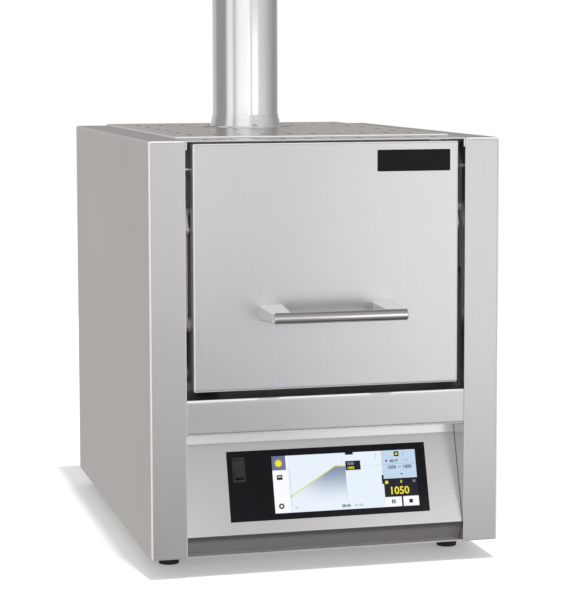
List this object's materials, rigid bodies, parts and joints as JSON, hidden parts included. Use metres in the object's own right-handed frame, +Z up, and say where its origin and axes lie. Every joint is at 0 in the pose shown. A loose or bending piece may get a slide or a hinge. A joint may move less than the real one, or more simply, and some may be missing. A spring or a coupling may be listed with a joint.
{
  "type": "ashing furnace",
  "caption": "Bench ashing furnace: stainless housing with a guided lift door and bar handle, exhaust pipe on the slotted top, and a sloped panel with display and rocker switch",
  "frame": {"origin": "on the bench under the middle of the whole furnace, handle included", "axes": "+Z up, -Y the front with the door, +X to the right seen from the front"},
  "size_m": [0.385, 0.57, 0.79],
  "materials": {
    "housing_steel": "fine brushed stainless",
    "door_steel": "fine brushed stainless",
    "pipe_steel": "drawn stainless tube",
    "frame_steel": "mill finish",
    "guide_steel": "plain steel",
    "pin_steel": "bright turned steel",
    "handle_steel": "polished bar",
    "bracket_steel": "satin",
    "badge": "blank dark plate",
    "fascia": "black glass",
    "screen": "lit display",
    "black_plastic": "moulded",
    "foot_rubber": "matt",
    "insulation_board": "pressed fibre board",
    "hot_ceramic": "unglazed ceramic",
    "sink_aluminium": "extruded",
    "terminal_plastic": "moulded"
  },
  "bodies": {
    "housing": {"bottom_tray": "frame_steel", "carrier_rails": "frame_steel", "housing_screws": "pin_steel", "control_panel": "housing_steel", "controller_glass": "fascia", "controller_housing": "black_plastic", "cross_member": "housing_steel", "display_screen": "screen", "door_switch": "black_plastic", "exhaust_collar": "pipe_steel", "exhaust_duct": "hot_ceramic", "exhaust_pipe": "pipe_steel", "foot_front_left": "foot_rubber", "foot_front_right": "foot_rubber", "foot_rear_left": "foot_rubber", "foot_rear_right": "foot_rubber", "front_frame": "frame_steel", "front_top_strip": "housing_steel", "hearth_plate": "hot_ceramic", "heating_plate_left": "hot_ceramic", "heating_plate_right": "hot_ceramic", "inner_casing": "frame_steel", "insulation_collar": "insulation_board", "insulation_floor": "insulation_board", "insulation_left": "insulation_board", "insulation_rear_lower": "insulation_board", "insulation_rear_upper": "insulation_board", "insulation_right": "insulation_board", "insulation_roof": "insulation_board", "left_side_shell": "housing_steel", "lift_spring_left": "pin_steel", "lift_spring_right": "pin_steel", "mains_inlet": "black_plastic", "pivot_pins": "pin_steel", "pivot_plate_left": "frame_steel", "pivot_plate_right": "frame_steel", "rear_panel": "housing_steel", "relay_heatsink": "sink_aluminium", "right_side_shell": "housing_steel", "rocker_bezel": "black_plastic", "terminal_block": "terminal_plastic", "thermocouple": "hot_ceramic", "top_cover": "housing_steel"},
    "upper_arms": {"upper_arm_left": "guide_steel", "upper_arm_right": "guide_steel", "upper_tie_shaft": "guide_steel"},
    "door": {"door_skin": "door_steel", "door_back_plate": "door_steel", "door_casing": "door_steel", "door_insulation": "insulation_board", "door_ears": "guide_steel", "door_plate": "badge", "handle_bar": "handle_steel", "handle_bracket_left": "bracket_steel", "handle_bracket_right": "bracket_steel", "handle_screws": "pin_steel"},
    "lower_arms": {"lower_arm_left": "guide_steel", "lower_arm_right": "guide_steel", "lower_tie_shaft": "guide_steel"},
    "rocker": {"power_rocker": "black_plastic"}
  },
  "joints": [
    {"name": "door_lift", "type": "hinge", "parent": "housing", "child": "upper_arms", "pos_m": [0, -0.199, 0.387], "axis": [-1, 0, 0], "range_deg": [0, 135], "deforming": ["lift_spring_left", "lift_spring_right"]},
    {"name": "door_level", "type": "hinge", "parent": "upper_arms", "child": "door", "pos_m": [0, -0.199, 0.267], "axis": [-1, 0, 0], "range_deg": [-135, 0]},
    {"name": "lower_guide", "type": "hinge", "parent": "housing", "child": "lower_arms", "pos_m": [0, -0.177, 0.333], "axis": [-1, 0, 0], "range_deg": [0, 135]},
    {"name": "power_switch", "type": "hinge", "parent": "housing", "child": "rocker", "pos_m": [-0.0929, -0.20138, 0.10847], "axis": [1, 0, 0], "range_deg": [0, 14]}
  ],
  "couplings": [
    {"joint": "door_level", "follows": "door_lift", "ratio": -1},
    {"joint": "lower_guide", "follows": "door_lift", "ratio": 1}
  ]
}
